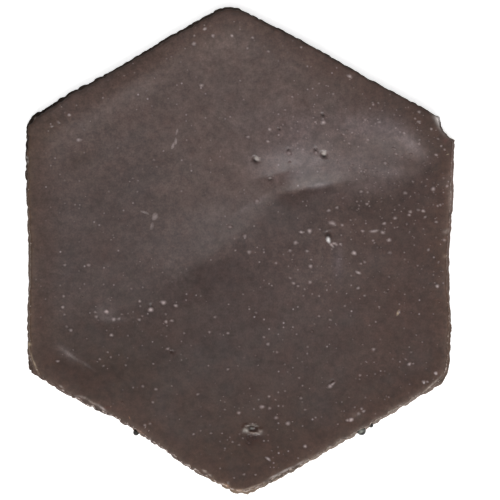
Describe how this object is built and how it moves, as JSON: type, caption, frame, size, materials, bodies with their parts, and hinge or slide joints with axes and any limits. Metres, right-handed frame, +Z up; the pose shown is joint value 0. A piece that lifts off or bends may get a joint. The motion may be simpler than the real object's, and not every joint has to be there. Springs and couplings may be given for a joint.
{
  "type": "hexagon floor tile",
  "caption": "Handmade hexagonal floor tile with a rolling dark brown glazed face, hand-cut leaning walls and a flat bare bed.",
  "frame": {"origin": "on the flat bed, under the middle of the tile's outline", "axes": "+Z up through the glazed face, +Y towards one corner along the longest way across, +X across two flats"},
  "size_m": [0.1514, 0.1718, 0.0144],
  "materials": {
    "glaze": "dark chocolate brown satin glaze with fine pimples and pinholes, on fired red clay"
  },
  "bodies": {
    "root": {"tile": "glaze"}
  },
  "joints": []
}
